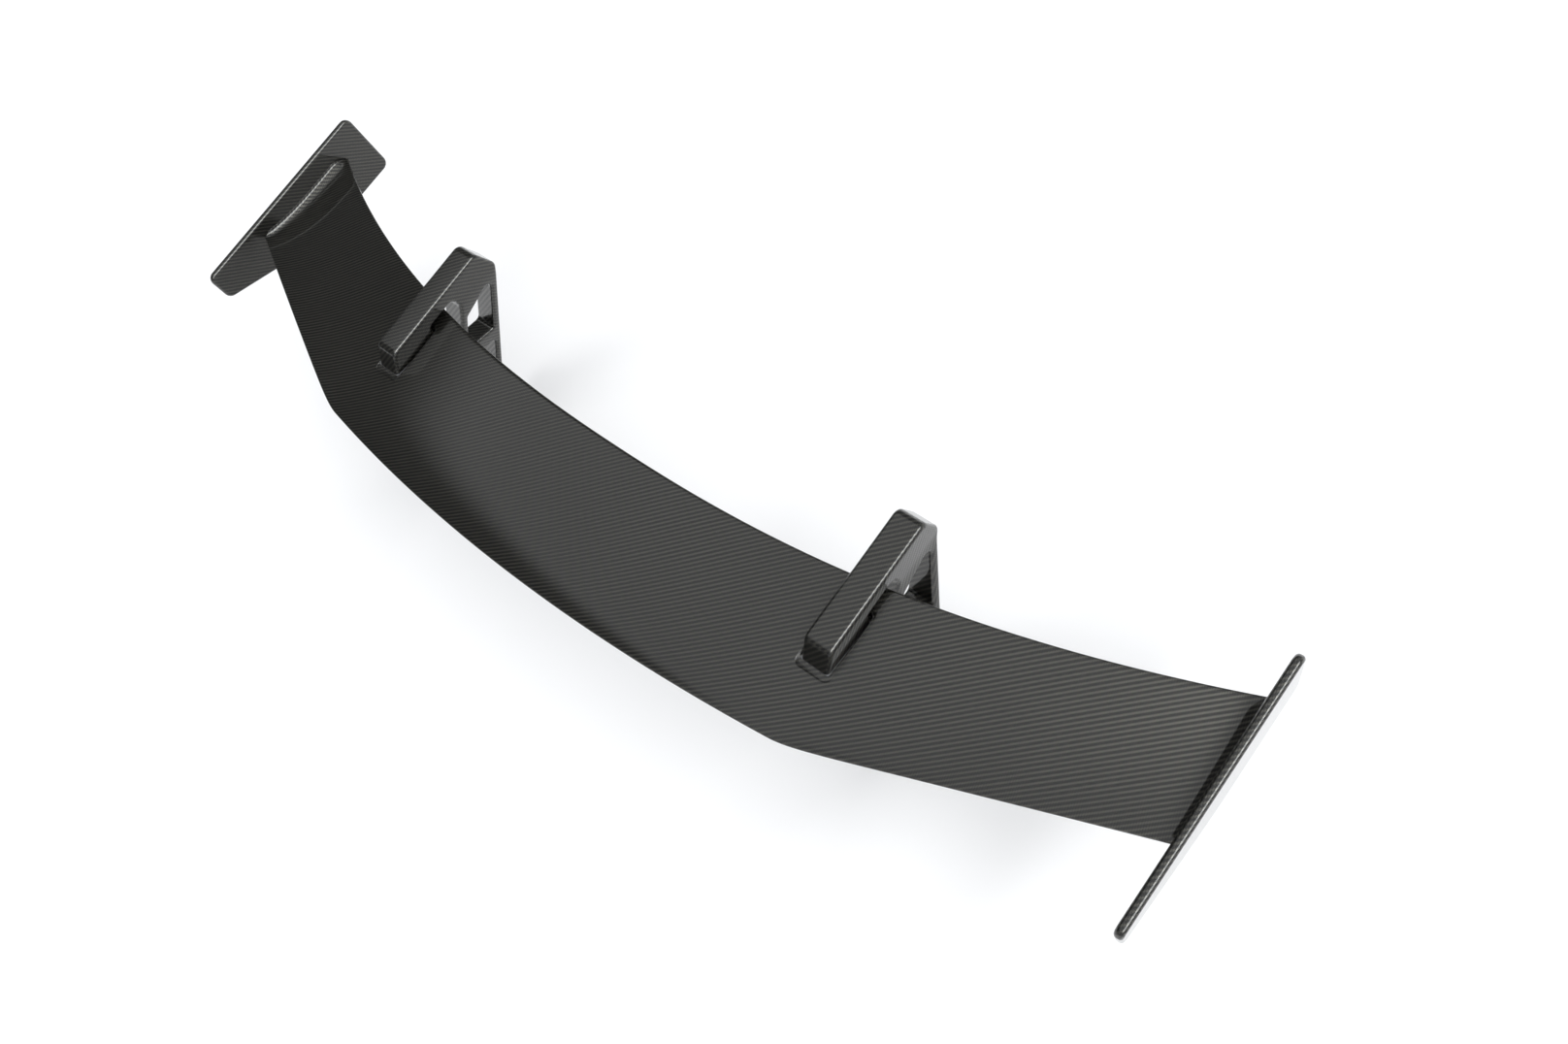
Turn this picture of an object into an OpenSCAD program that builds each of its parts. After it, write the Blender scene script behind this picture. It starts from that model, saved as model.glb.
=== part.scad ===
// Racing rear wing: a swept carbon blade between two endplates, held from
// above by two swan-neck uprights that bolt down to a boot lid.
// Millimetres. X runs along the span, Y points to the front of the car, Z is up.
// The origin lies midway between the two feet, in the plane of the foot faces.

/* [Blade] */
// Distance between the outer faces of the endplates
wing_span = 1450; // [1200:10:1700]
// Distance of the leading edge ahead of the feet at mid span
lead_y = 13; // [0:1:40]
// How far the leading edge sweeps forward from mid span to the tips
lead_sweep = 141; // [60:1:200]
// Distance of the trailing edge behind the feet at mid span
trail_y = 172; // [140:1:200]
// Half span at which the trailing edge turns forward
kink_x = 360; // [280:5:440]
// How far the trailing edge comes forward between mid span and the turn
kink_rise = 25; // [0:1:60]
// Sweep of the trailing edge outboard of the turn, forward per outboard distance
tip_sweep = 0.4; // [0.2:0.01:0.6]
// Height of the leading edge at mid span
lead_z = 229; // [200:1:260]
// How far the leading edge droops at the tips
lead_droop = 42; // [0:1:80]
// Height of the trailing edge at mid span
trail_z = 253; // [220:1:290]
// How far the trailing edge droops at the tips
trail_droop = 48; // [0:0.5:80]
// Depth of the hollow in the upper face at mid span
hollow = 10; // [4:0.5:16]
// Thickness of the carbon skins
skin_t = 2; // [1.2:0.1:3]
// Thickness of the trailing edge
trail_t = 3; // [2.6:0.1:6]

/* [Pockets] */
// Distance of the uprights from mid span at the blade
arm_x = 350; // [250:5:450]
// Length of the pocket that takes the arm's pad
pocket_l = 82; // [76:1:100]
// Width of the pocket
pocket_w = 40; // [38:1:60]
// Corner radius of the pocket
pocket_r = 6; // [3:0.5:10]
// Height of the pocket floor at its centre
pad_z = 219.5; // [210:0.5:225]
// Distance of the pocket's centre behind the middle of the feet
pad_back = 29; // [10:1:50]
// Slope of the pocket floor, rising to the rear
pad_tilt = 7; // [0:0.5:12]
// Distance between the two wing bolts of one pad
wing_bolt_gap = 35; // [25:1:50]
// Thread diameter of the wing bolts
wing_bolt_d = 8; // [6:1:10]

/* [Endplates] */
// Thickness of an endplate
plate_t = 10; // [6:0.5:14]
// Corner radius of an endplate
plate_r = 12; // [6:1:20]

/* [Uprights] */
// Width of an upright across the car
upright_w = 36; // [30:1:44]
// Distance that the foot stands outboard of the arm
foot_out = 30; // [0:1:60]
// Corner radius of the windows
window_r = 7; // [3:0.5:10]
// Length of the foot along the car
foot_l = 92; // [80:1:120]
// Distance between the two threaded holes of one foot
foot_bolt_gap = 62; // [50:1:70]
// Tapping diameter of the foot's threaded holes
foot_tap_d = 6.8; // [5:0.1:8.5]
// Length of a threaded foot insert
foot_insert_l = 20; // [12:1:26]
// How far the locating block stands out below the foot
block_out = 20; // [10:1:30]

/* [Hidden] */

carbon = [0.13, 0.13, 0.13];
alloy = [0.75, 0.76, 0.78];
steel = [0.55, 0.56, 0.58];
satin = [0.40, 0.41, 0.42];
black = [0.06, 0.06, 0.07];

tip_x = wing_span / 2 - plate_t;
// How late along the span the sweep and the droop of each edge set in
lead_sweep_power = 2.3;
lead_droop_power = 3.2;
trail_droop_power = 1.9;
// Length over which the turn of the trailing edge is eased, and how far that moves it back
kink_ease = 20;
kink_back = kink_ease * (tip_sweep - 2 * kink_rise / kink_x);
// Rise and fall of the hollow along the chord, its deepest value, and how much shallower it is at the tips
hollow_rise = 1.5;
hollow_fall = 0.9;
deepest_at = hollow_rise / (hollow_rise + hollow_fall);
hollow_peak = pow(deepest_at, hollow_rise) * pow(1 - deepest_at, hollow_fall);
tip_hollow_loss = 4;
// Share of the chord that the rounded nose takes, and how far it drops the edge
nose_share = 0.03;
nose_drop = 1.6;
// Thickness of the leading edge itself, and fullness of the section as a share of the chord
lead_t = 0.8;
fullness = 0.374;
// Half the number of sections along the span
span_n = 20;
// Number of steps from the leading edge to the trailing edge
chord_n = 18;
// Number of steps round each corner of a plate, window or pocket
arc_n = 6;
// Wall and floor thickness of a pocket
tray_t = 2;
// Thickness of the ground facing on a pad and on a foot
facing_t = 1.5;
// Dowels between a tip rib and its endplate: diameter, depth into each side and share of the chord
dowel_d = 6;
dowel_in = 6;
dowel_shares = [0.26, 0.5];
// Tip rib: thickness along the span, and its first, step and last share of the chord
rib_t = 8;
rib_shares = [0.16:0.08:0.64];
// Spars: where each begins and ends along the chord
front_spar_shares = [0.085, 0.1];
rear_spar_shares = [0.68, 0.695];
// Length of the ground pad under the arm, and the clearance left round it
pad_l = 72;
pad_gap = 0.5;
pad_facing_r = 2;
// Outside diameter of bushes and threaded sleeves, and the flange of a bush
sleeve_d = 14;
flange_d = 20;
flange_t = 3;
// Length of a threaded sleeve in the pad, and how far it stands back from the face
pad_insert_l = 18;
pad_insert_back = 0.6;
// Small dowel at the middle of each pad
pad_dowel_d = 4;
pad_dowel_in = 4;
pad_dowel_l = 10;
// Width of the mounting block across the car, and its outline as [back to front, up] from the pocket floor
mount_w = 36;
mount_line = [[32, -2], [-36, -2], [-36, -11], [-16, -11.4], [8, -10], [32, -6.5]];
// Half width of the tray's region and the step between its sections
tray_half = 31;
tray_step = 12.4;
// Height of the tool that opens a pocket, well above the blade
open_h = 40;
// Size of the hexagon in a bolt head, and its depth
hex_d = 5;
hex_deep = 3;
// Foot: corner radius of the facing, and the seal's outer size, width and thickness
foot_facing_r = 5;
seal_l = foot_l - 8;
seal_w = upright_w - 10;
seal_line = 1.5;
seal_t = 1;
// Block under the foot: width, length, depth into the foot, and the stub below it
block_w = 20;
block_l = 22;
block_in = 10;
stub = 8;
stub_out = 7;
stub_back = 5;
// Depth of the rear and the front wing bush below the pocket floor
bush_low = [14.6, 12.4];
wing_bolt_l = 28;
// Outline of an upright seen from the side, as [forward, up]
upright_line = [[-46, 252], [-55, 248], [-61, 240], [-64.6, 223.9], [7, 215.1], [9, 228], [14, 232],
    [46, 232], [52, 229], [54, 222], [50, 208], [-51, 38], [-52, 30], [-46, 0], [46, 0],
    [37, 40], [38, 50], [120, 203], [126, 213], [126, 219], [116, 248], [110, 252]];
// Corner centres of the two windows, inset from their edges by the corner radius
upper_window = [[57, 184], [36, 147], [65, 138], [95, 194]];
lower_window = [[15, 112], [-14, 62], [28, 64], [50, 105]];
// Heights at which an upright turns outboard and turns upright again
bend_top = 206;
bend_low = 46;
arm_top = 252;
// Corner centres of an endplate, inset from its edges by the corner radius
plate_line = [[183, 215], [-94, 215], [-95, 191], [24, 146], [60, 137], [183, 136]];

// Leading edge and trailing edge at a distance x from mid span
function lead_edge_y(x) = lead_y + lead_sweep * pow(x / tip_x, lead_sweep_power);
function lead_edge_z(x) = lead_z - lead_droop * pow(x / tip_x, lead_droop_power);
function trail_edge_y(x) = x < kink_x ? -trail_y + kink_rise * pow(x / kink_x, 2)
    : -trail_y + kink_rise + tip_sweep * (x - kink_x) - kink_back * (1 - exp((kink_x - x) / kink_ease));
function trail_edge_z(x) = trail_z - trail_droop * pow(x / tip_x, trail_droop_power);
function chord_len(x) = lead_edge_y(x) - trail_edge_y(x);
// Share of the chord at step i, closer together at both edges
function chord_at(i) = (1 - cos(180 * i / chord_n)) / 2;
function blade_y(x, s) = lead_edge_y(x) - s * chord_len(x);
function hollow_at(x, s) = (hollow - tip_hollow_loss * pow(x / tip_x, 2))
    * pow(s, hollow_rise) * pow(1 - s, hollow_fall) / hollow_peak;
function nose_at(s) = s < nose_share ? nose_drop * (1 - sqrt(1 - pow(1 - s / nose_share, 2))) : 0;
function upper_z(x, s) = lead_edge_z(x) + s * (trail_edge_z(x) - lead_edge_z(x))
    - hollow_at(x, s) - nose_at(s);
function thick_at(x, s) = lead_t * (1 - s) + trail_t * s + fullness * chord_len(x) * (sqrt(s) - s);
function lower_z(x, s) = upper_z(x, s) - thick_at(x, s);
function inner_t(x, s) = min(skin_t, thick_at(x, s) / 2);
// Heights of the four layers: top, underside of the top skin, top of the lower skin, bottom
function layer_z(k, x, s) = k == 0 ? upper_z(x, s)
    : k == 1 ? upper_z(x, s) - inner_t(x, s)
    : k == 2 ? lower_z(x, s) + inner_t(x, s)
    : lower_z(x, s);

// Solid between two layers, from share s0 to share s1 of the chord, through the sections xs
module layer_loft(xs, ss, top, low) {
    m = len(ss);
    ring = 2 * m;
    points = [for (x = xs) each concat(
        [for (s = ss) [x, blade_y(abs(x), s), layer_z(top, abs(x), s)]],
        [for (j = [m - 1:-1:0]) [x, blade_y(abs(x), ss[j]), layer_z(low, abs(x), ss[j])]])];
    last = (len(xs) - 1) * ring;
    sides = [for (i = [0:len(xs) - 2]) for (j = [0:ring - 1])
        let (a = i * ring + j, b = i * ring + (j + 1) % ring)
            each [[a, b + ring, b], [a, a + ring, b + ring]]];
    near = [for (j = [0:m - 2]) each [[j, ring - 2 - j, ring - 1 - j], [j, j + 1, ring - 2 - j]]];
    far = [for (f = near) [last + f[2], last + f[1], last + f[0]]];
    polyhedron(points = points, faces = concat(sides, near, far), convexity = 6);
}

// Section positions along the span, with one on each turn of the trailing edge
function span_at(i) = let (a = abs(i) / span_n) (i < 0 ? -1 : 1)
    * (a <= 0.5 ? kink_x * a * 2 : kink_x + (tip_x - kink_x) * (a - 0.5) * 2);
span_xs = [for (i = [-span_n:span_n]) span_at(i)];
chord_ss = [for (i = [0:chord_n]) chord_at(i)];

// Direction that faces outwards from the edge a to b of a shape listed anticlockwise
function outward(a, b) = atan2(b[1] - a[1], b[0] - a[0]) - 90;
// Outline with round corners about the given corner centres, listed anticlockwise
function round_outline(centres, r) = [for (i = [0:len(centres) - 1])
    let (count = len(centres), before = centres[(i + count - 1) % count],
        here = centres[i], after = centres[(i + 1) % count],
        from = outward(before, here), turn = (outward(here, after) - from + 720) % 360)
    for (k = [0:arc_n]) here + r * [cos(from + turn * k / arc_n), sin(from + turn * k / arc_n)]];

module round_shape(centres, r) {
    polygon(round_outline(centres, r));
}

// An upright rounded bar seen from above, with its length along Y
module round_bar(l, w, r, h) {
    linear_extrude(height = h) round_shape([[w / 2 - r, l / 2 - r], [-w / 2 + r, l / 2 - r],
        [-w / 2 + r, -l / 2 + r], [w / 2 - r, -l / 2 + r]], r);
}

// A ring or disc with flat ends and two half circles, with its length along Y
module oval(l, w, h) {
    translate([0, (l - w) / 2, 0]) cylinder(d = w, h = h, $fn = 64);
    translate([0, -(l - w) / 2, 0]) cylinder(d = w, h = h, $fn = 64);
    translate([-w / 2, -(l - w) / 2, 0]) cube([w, l - w, h]);
}

// Right-hand pieces are drawn once and mirrored for the left
module on_side(side) {
    if (side == "right") {
        children();
    } else {
        mirror([1, 0, 0]) children();
    }
}

// Moves to the centre of the pocket floor, square to the floor
module at_pad() {
    translate([arm_x, -pad_back, pad_z]) rotate([-pad_tilt, 0, 0]) children();
}

module at_wing_bolts() {
    for (y = [-wing_bolt_gap / 2, wing_bolt_gap / 2]) {
        at_pad() translate([0, y, 0]) children();
    }
}

// Moves to the lower end of each wing bush, which depends on the thickness of the blade
module at_bush_ends() {
    for (i = [0, 1]) {
        at_pad() translate([0, (i - 0.5) * wing_bolt_gap, -bush_low[i]]) children();
    }
}

module at_foot_bolts() {
    for (y = [-foot_bolt_gap / 2, foot_bolt_gap / 2]) {
        translate([arm_x + foot_out, y, 0]) children();
    }
}

// Space of the pocket including its walls
module tray_outer() {
    at_pad() translate([0, 0, -tray_t]) round_bar(pocket_l + 2 * tray_t, pocket_w + 2 * tray_t,
        pocket_r + tray_t, open_h);
}

module upper_skin() {
    color(carbon) difference() {
        layer_loft(span_xs, chord_ss, 0, 1);
        tray_outer();
        mirror([1, 0, 0]) tray_outer();
    }
}

module lower_skin() {
    color(carbon) difference() {
        layer_loft(span_xs, chord_ss, 2, 3);
        for (side = ["left", "right"]) {
            on_side(side) at_wing_bolts() translate([0, 0, -tray_t - 28])
                cylinder(d = flange_d, h = 28, $fn = 48);
        }
    }
}

module spar(shares) {
    color(carbon) layer_loft(span_xs, shares, 1, 2);
}

module tip_rib(side) {
    color(carbon) on_side(side) difference() {
        layer_loft([tip_x - rib_t, tip_x], [for (s = rib_shares) s], 1, 2);
        tip_dowel_shapes();
    }
}

module tip_dowel_shapes() {
    for (s = dowel_shares) {
        translate([tip_x - dowel_in, blade_y(tip_x, s), (layer_z(1, tip_x, s) + layer_z(2, tip_x, s)) / 2])
            rotate([0, 90, 0]) cylinder(d = dowel_d, h = 2 * dowel_in, $fn = 32);
    }
}

module tip_dowels(side) {
    color(steel) on_side(side) tip_dowel_shapes();
}

module pocket_tray(side) {
    color(carbon) on_side(side) difference() {
        intersection() {
            layer_loft([for (dx = [-tray_half:tray_step:tray_half]) arm_x + dx], chord_ss, 0, 3);
            tray_outer();
        }
        at_pad() round_bar(pocket_l, pocket_w, pocket_r, open_h);
        at_wing_bolts() translate([0, 0, -5]) cylinder(d = sleeve_d, h = 10, $fn = 48);
        at_pad() translate([0, 0, -5]) cylinder(d = pad_dowel_d, h = 10, $fn = 32);
    }
}

// Alloy block between the pocket floor and the lower skin
module mount_block(side) {
    color(alloy) on_side(side) difference() {
        at_pad() rotate([90, 0, 90]) translate([0, 0, -mount_w / 2]) linear_extrude(height = mount_w)
            polygon(mount_line);
        at_wing_bolts() translate([0, 0, -20]) cylinder(d = sleeve_d, h = 30, $fn = 48);
        at_pad() translate([0, 0, -5]) cylinder(d = pad_dowel_d, h = 10, $fn = 32);
    }
}

// Countersink that seats the head of a wing bolt
module bolt_head() {
    cylinder(d1 = wing_bolt_d * 2, d2 = wing_bolt_d, h = wing_bolt_d / 2, $fn = 48);
}

// Sleeve through the blade, with a flange that the bolt head sinks into
module wing_bushes(side) {
    color(alloy) on_side(side) difference() {
        union() {
            at_wing_bolts() translate([0, 0, -10]) cylinder(d = sleeve_d, h = 10, $fn = 48);
            at_bush_ends() cylinder(d = sleeve_d, h = 8, $fn = 48);
            at_bush_ends() cylinder(d = flange_d, h = flange_t, $fn = 48);
        }
        at_wing_bolts() translate([0, 0, -20]) cylinder(d = wing_bolt_d, h = 21, $fn = 48);
        at_bush_ends() bolt_head();
    }
}

// Countersunk bolt that runs up through the blade into the arm
module wing_bolts(side) {
    color(steel) on_side(side) at_bush_ends() difference() {
        union() {
            cylinder(d = wing_bolt_d, h = wing_bolt_l, $fn = 48);
            bolt_head();
        }
        translate([0, 0, -1]) cylinder(d = hex_d, h = hex_deep + 1, $fn = 6);
    }
}

module pad_dowel_shape() {
    at_pad() translate([0, 0, -pad_dowel_in]) cylinder(d = pad_dowel_d, h = pad_dowel_l, $fn = 32);
}

module pad_dowel(side) {
    color(steel) on_side(side) pad_dowel_shape();
}

module endplate(side) {
    color(carbon) on_side(side) difference() {
        translate([tip_x, 0, 0]) rotate([90, 0, 90]) linear_extrude(height = plate_t)
            round_shape(plate_line, plate_r);
        tip_dowel_shapes();
    }
}

// Part of the upright between two heights, leaning outboard by lean over that height
module upright_slab(low, high, start, lean) {
    k = lean / (high - low);
    multmatrix([[1, 0, -k, start + k * high], [0, 1, 0, 0], [0, 0, 1, 0]])
        rotate([90, 0, 90]) translate([0, 0, -upright_w / 2]) linear_extrude(height = upright_w)
            intersection() {
                polygon(upright_line);
                translate([-100, low]) square([300, high - low]);
            }
}

module upright_windows() {
    k = foot_out / (bend_top - bend_low);
    multmatrix([[1, 0, -k, arm_x + k * bend_top], [0, 1, 0, 0], [0, 0, 1, 0]])
        rotate([90, 0, 90]) translate([0, 0, -upright_w]) linear_extrude(height = 2 * upright_w) {
            round_shape(upper_window, window_r);
            round_shape(lower_window, window_r);
        }
}

module pad_insert_space() {
    at_wing_bolts() cylinder(d = sleeve_d, h = pad_insert_l, $fn = 48);
}

module foot_insert_space() {
    at_foot_bolts() cylinder(d = sleeve_d, h = foot_insert_l, $fn = 48);
}

module block_space() {
    translate([arm_x + foot_out - block_w / 2, -block_l / 2, -block_out])
        cube([block_w, block_l, block_out + block_in]);
}

module upright(side) {
    color(carbon) on_side(side) difference() {
        union() {
            upright_slab(bend_top, arm_top, arm_x, 0);
            upright_slab(bend_low, bend_top, arm_x, foot_out);
            upright_slab(0, bend_low, arm_x + foot_out, 0);
        }
        upright_windows();
        at_pad() translate([-upright_w / 2 - 1, -pad_l / 2 - pad_gap, -5])
            cube([upright_w + 2, pad_l + 0.9, 5 + facing_t]);
        pad_insert_space();
        pad_dowel_shape();
        foot_insert_space();
        block_space();
        translate([arm_x + foot_out - upright_w / 2 - 1, -60, -1]) cube([upright_w + 2, 120, 1 + facing_t]);
    }
}

// Ground facing under the pad of the arm
module pad_facing(side) {
    color(satin) on_side(side) difference() {
        at_pad() round_bar(pad_l - 2 * pad_gap, upright_w, pad_facing_r, facing_t);
        pad_insert_space();
        pad_dowel_shape();
    }
}

// Threaded sleeves in the arm
module pad_inserts(side) {
    color(steel) on_side(side) at_wing_bolts() difference() {
        translate([0, 0, pad_insert_back])
            cylinder(d = sleeve_d, h = pad_insert_l - pad_insert_back, $fn = 48);
        translate([0, 0, -1]) cylinder(d = wing_bolt_d, h = pad_insert_l - 0.5, $fn = 48);
    }
}

// Ground facing of the foot, with a groove for the seal
module foot_facing(side) {
    color(satin) on_side(side) difference() {
        translate([arm_x + foot_out, 0, 0]) round_bar(foot_l, upright_w, foot_facing_r, facing_t);
        seal_ring();
        foot_insert_space();
        block_space();
    }
}

module seal_ring() {
    translate([arm_x + foot_out, 0, 0]) difference() {
        oval(seal_l, seal_w, seal_t);
        translate([0, 0, -1]) oval(seal_l - 2 * seal_line, seal_w - 2 * seal_line, seal_t + 2);
    }
}

module foot_seal(side) {
    color(black) on_side(side) seal_ring();
}

// Threaded sleeves in the foot
module foot_inserts(side) {
    color(steel) on_side(side) at_foot_bolts() difference() {
        cylinder(d = sleeve_d, h = foot_insert_l, $fn = 48);
        translate([0, 0, -1]) cylinder(d = foot_tap_d, h = foot_insert_l - 2, $fn = 48);
    }
}

// Square block and stub that locate the foot in the boot lid
module locating_block(side) {
    color(black) on_side(side) {
        block_space();
        translate([arm_x + foot_out - stub / 2, -stub_back - stub / 2, -block_out - stub_out])
            cube([stub, stub, stub]);
    }
}

upper_skin();  // blade_upper_skin
lower_skin();  // blade_lower_skin
spar(front_spar_shares);  // front_spar
spar(rear_spar_shares);  // rear_spar
tip_rib("left");  // left_tip_rib
tip_rib("right");  // right_tip_rib
tip_dowels("left");  // left_tip_dowels
tip_dowels("right");  // right_tip_dowels
pocket_tray("left");  // left_pocket_tray
pocket_tray("right");  // right_pocket_tray
mount_block("left");  // left_mount_block
mount_block("right");  // right_mount_block
wing_bushes("left");  // left_wing_bushes
wing_bushes("right");  // right_wing_bushes
endplate("left");  // left_endplate
endplate("right");  // right_endplate
upright("left");  // left_upright
upright("right");  // right_upright
pad_facing("left");  // left_pad_facing
pad_facing("right");  // right_pad_facing
pad_inserts("left");  // left_pad_inserts
pad_inserts("right");  // right_pad_inserts
pad_dowel("left");  // left_pad_dowel
pad_dowel("right");  // right_pad_dowel
wing_bolts("left");  // left_wing_bolts
wing_bolts("right");  // right_wing_bolts
foot_facing("left");  // left_foot_facing
foot_facing("right");  // right_foot_facing
foot_inserts("left");  // left_foot_inserts
foot_inserts("right");  // right_foot_inserts
foot_seal("left");  // left_foot_seal
foot_seal("right");  // right_foot_seal
locating_block("left");  // left_locating_block
locating_block("right");  // right_locating_block
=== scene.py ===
"""Racing rear wing: the finished surfaces, materials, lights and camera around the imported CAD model."""
import math

import bmesh
import bpy
from mathutils import Matrix, Vector


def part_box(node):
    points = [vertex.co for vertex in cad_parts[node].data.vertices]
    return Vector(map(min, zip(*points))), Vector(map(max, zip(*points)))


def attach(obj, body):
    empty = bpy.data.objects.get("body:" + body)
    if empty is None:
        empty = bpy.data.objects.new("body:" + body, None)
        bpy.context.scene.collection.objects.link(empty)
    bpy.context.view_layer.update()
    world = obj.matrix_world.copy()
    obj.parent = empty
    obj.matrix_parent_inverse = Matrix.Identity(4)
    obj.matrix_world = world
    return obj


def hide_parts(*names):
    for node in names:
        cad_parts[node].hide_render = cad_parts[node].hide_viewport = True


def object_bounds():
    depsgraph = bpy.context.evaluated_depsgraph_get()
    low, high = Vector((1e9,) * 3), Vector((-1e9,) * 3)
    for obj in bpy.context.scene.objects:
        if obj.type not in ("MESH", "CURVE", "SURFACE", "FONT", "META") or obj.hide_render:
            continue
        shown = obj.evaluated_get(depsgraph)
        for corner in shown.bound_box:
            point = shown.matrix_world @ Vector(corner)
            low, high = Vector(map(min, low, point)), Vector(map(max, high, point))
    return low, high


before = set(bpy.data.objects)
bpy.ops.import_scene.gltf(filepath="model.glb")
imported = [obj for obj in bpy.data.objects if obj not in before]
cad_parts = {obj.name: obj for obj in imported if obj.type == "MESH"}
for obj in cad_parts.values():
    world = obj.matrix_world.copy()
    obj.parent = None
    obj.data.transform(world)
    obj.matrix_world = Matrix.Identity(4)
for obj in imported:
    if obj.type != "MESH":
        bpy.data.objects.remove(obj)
cad_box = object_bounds()

MM = 0.001
SIDES = {"left": -1, "right": 1}

# Blade, in millimetres, by the same rules as the CAD: where each edge lies at the middle of the span, and how
# far it has swept forward and drooped by the tip
TIP_X = 715.0
LEAD_Y = 13.0
LEAD_SWEEP = 141.0
LEAD_SWEEP_POWER = 2.3
LEAD_Z = 229.0
LEAD_DROOP = 42.0
LEAD_DROOP_POWER = 3.2
TRAIL_Y = -172.0
TRAIL_Z = 253.0
TRAIL_DROOP = 48.0
TRAIL_DROOP_POWER = 1.9

# Trailing edge in plan: a gentle curve out to the kink, then an eased, nearly straight run to the tip
KINK_X = 360.0
KINK_RISE = 25.0
KINK_EASE = 20.0
TIP_SWEEP = 0.4
KINK_BACK = KINK_EASE * (TIP_SWEEP - 2 * KINK_RISE / KINK_X)

# Section of the blade: depth of the hollow, what it loses by the tip, the powers that shape it fore and aft,
# and the shape's own greatest value
HOLLOW = 10.0
HOLLOW_LOSS = 4.0
HOLLOW_RISE = 1.5
HOLLOW_FALL = 0.9
HOLLOW_PEAK = 0.2044
# Rounding of the nose, thickness at both edges and between them, and the share of the chord that the
# rounded trailing edge takes
NOSE_DROP = 1.6
NOSE_SHARE = 0.03
LEAD_T = 0.8
TRAIL_T = 3.0
FULLNESS = 0.374
TRAIL_ROUND = 0.008
SKIN_T = 1.8

# Fairing between blade and endplate: reach at the leading edge, loss of reach by the trailing edge, slope
# against the plate, share of the reach that is straight, and radius of the tight fillet at its foot
FAIRING = 15.0
FAIRING_LOSS = 10.0
FAIRING_SLOPE = 0.8
FAIRING_STRAIGHT = 0.6
FILLET = 2.0
# Shares of the chord over which the fairing dies away at the leading and the trailing edge
FADE_LEAD = 0.14
FADE_TRAIL = 0.08

# Pocket and pad, in millimetres: where the arm and the pad's middle lie, the tilt of the pocket's floor, the
# pocket's size, its rounded rim and floor edge, the gap between the two wing bolts and the liner's thickness
ARM_X = 350.0
PAD_Y = -29.0
PAD_Z = 219.5
PAD_TILT = math.radians(7)
POCKET_L = 82.0
POCKET_W = 40.0
POCKET_R = 6.0
RIM_R = 1.2
FLOOR_R = 1.5
BOLT_GAP = 35.0
LINER_T = 1.0

# Endplates: thickness, corner radius, radius of the round edge, steps round an edge and round a corner, and
# the centres of the corners from the side as (forward, up)
PLATE_T = 10.0
PLATE_R = 12.0
PLATE_EDGE = 4.2
PLATE_EDGE_N = 8
PLATE_CORNER_N = 12
PLATE_CENTRES = [(183, 215), (-94, 215), (-95, 191), (24, 146), (60, 137), (183, 136)]

# Uprights: width, radius of the round edges and steps round them, offset of the foot outboard of the arm, the
# heights of the two bends, how softly and in how many steps they turn, the thickness of the ground facings,
# then the outline from the side as (forward, up, corner radius) and the windows' corner centres
UPRIGHT_W = 36.0
UPRIGHT_EDGE = 4.5
EDGE_N = 5
FOOT_OUT = 30.0
BEND_TOP = 206.0
BEND_LOW = 46.0
BEND_SOFT = 10.0
BEND_N = 6
FACING_T = 1.5
UPRIGHT_CORNERS = [
    (-46, 252, 12), (-68.4, 219, 1), (6.2, 209.5, 1), (9.6, 232, 6), (54, 232, 9), (54, 215, 12),
    (-52, 37, 16), (-44.8, -6, 1), (47.4, -6, 1), (36.5, 44, 14), (126.5, 215, 12), (113.5, 252, 12)]
WINDOWS = [[(57, 184), (36, 147), (65, 138), (95, 194)], [(15, 112), (-14, 62), (28, 64), (50, 105)]]
WINDOW_R = 7.0
# Flat cut under the arm: how far it reaches back and forward of the pad's middle, and the cutter's size
PAD_REAR = -36.5
PAD_FRONT = 36.4
PAD_CUT_W = 60.0
PAD_CUT_H = 30.0

# Cloth: width of one tow of the twill, and how readily a sloping face counts as facing sideways
TOW = 1.75
SIDE_BIAS = 0.15

# Studio that glossy surfaces mirror: brightness of the walls to the left and right, and the direction along X
# over which they turn from dark to pale
WALL_DARK = 0.1
WALL_PALE = 0.7
WALL_X = (-0.75, 0.3)
# Panel overhead: brightness, and the height and softness of its edge
PANEL_LIGHT = 1.0
PANEL_EDGE = 0.68
PANEL_SOFT = 0.05
# Even light that falls on matt surfaces, and the backdrop
AMBIENT = 1.06
BACKDROP = 0.95
# Soft box high on the right: brightness, and the directions along X and Z at which it begins and is full
BOX_LIGHT = 8.0
BOX_X = (0.28, 0.36)
BOX_Z = (0.60, 0.66)

# Camera, in metres: place, the directions to its right and ahead, and the lens in millimetres
CAMERA_PLACE = (0.8056, -0.129, 1.354)
CAMERA_RIGHT = (0.752, 0.589, -0.296)
CAMERA_AHEAD = (-0.4525, 0.134, -0.8816)
CAMERA_LENS = 27.9

# Gap between the object and the floor under it, in millimetres
FLOOR_GAP = 0.5


# ---------------------------------------------------------------- shape rules

def lead_y(x):
    return LEAD_Y + LEAD_SWEEP * (x / TIP_X) ** LEAD_SWEEP_POWER


def lead_z(x):
    return LEAD_Z - LEAD_DROOP * (x / TIP_X) ** LEAD_DROOP_POWER


def trail_y(x):
    if x < KINK_X:
        return TRAIL_Y + KINK_RISE * (x / KINK_X) ** 2
    out = x - KINK_X
    return TRAIL_Y + KINK_RISE + TIP_SWEEP * out - KINK_BACK * (1 - math.exp(-out / KINK_EASE))


def trail_z(x):
    return TRAIL_Z - TRAIL_DROOP * (x / TIP_X) ** TRAIL_DROOP_POWER


def chord(x):
    return lead_y(x) - trail_y(x)


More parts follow.
